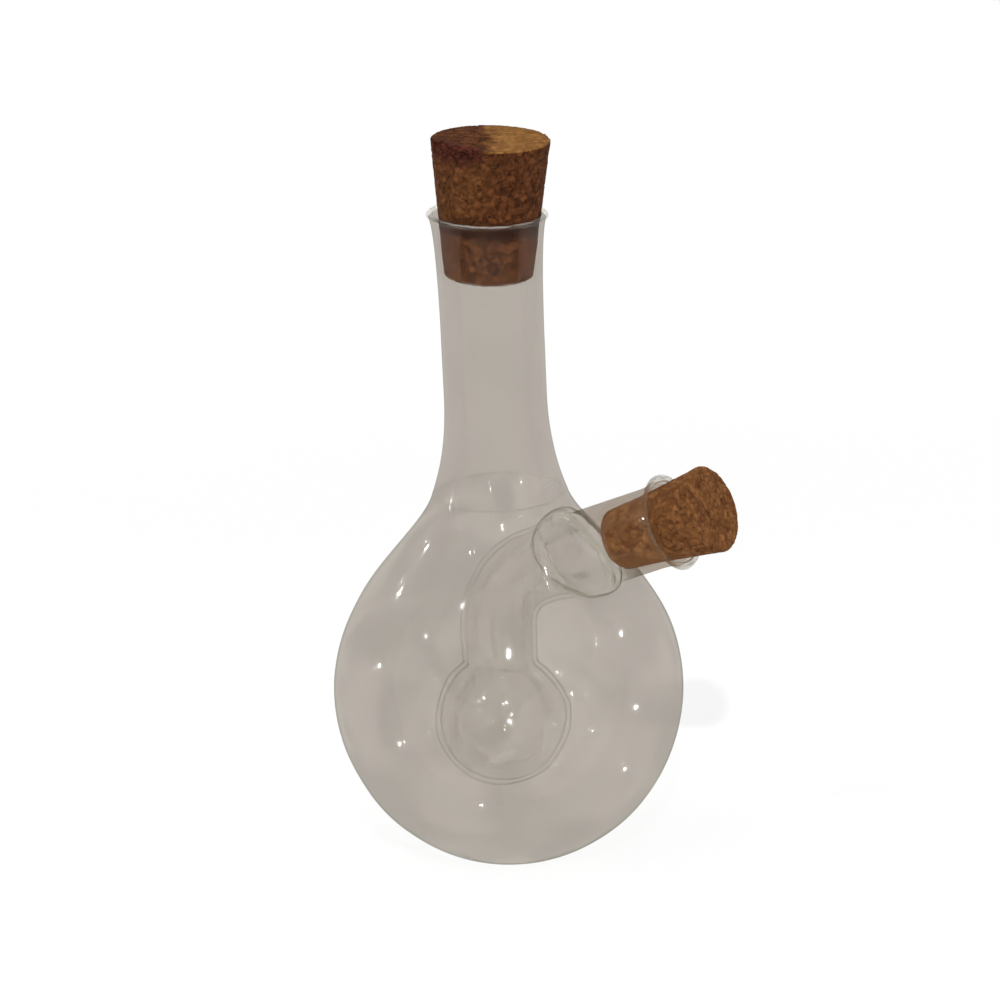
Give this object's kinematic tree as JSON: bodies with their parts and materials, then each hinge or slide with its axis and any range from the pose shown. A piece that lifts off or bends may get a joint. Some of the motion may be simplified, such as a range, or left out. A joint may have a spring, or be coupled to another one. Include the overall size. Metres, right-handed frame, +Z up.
{
  "type": "dual oil and vinegar dispenser",
  "caption": "Round glass flask with a long corked neck for oil, and a bulb sealed inside it that pours vinegar through a corked side spout.",
  "frame": {"origin": "middle of the underside of the flask's flat foot", "axes": "+Z up along the neck, +X towards the side that the spout points to"},
  "size_m": [0.1177, 0.095, 0.1983],
  "materials": {
    "clear_glass": "fire-polished clear borosilicate glass",
    "weld_glass": "thicker clear glass of the weld, slightly rippled",
    "cork": "pressed cork granules, matt, with dark pits"
  },
  "bodies": {
    "flask": {"outer_globe": "clear_glass", "neck_tube": "clear_glass", "inner_bulb": "clear_glass", "feed_tube": "clear_glass", "seal_ring": "weld_glass", "side_spout": "clear_glass"},
    "neck_cork": {"neck_stopper": "cork"},
    "spout_cork": {"spout_stopper": "cork"}
  },
  "joints": [
    {"name": "neck_stopper_pull", "type": "slide", "parent": "flask", "child": "neck_cork", "axis": [0, 0, 1], "range_m": [0, 0.045]},
    {"name": "spout_stopper_pull", "type": "slide", "parent": "flask", "child": "spout_cork", "axis": [0.9198, 0, 0.3923], "range_m": [0, 0.04]}
  ]
}
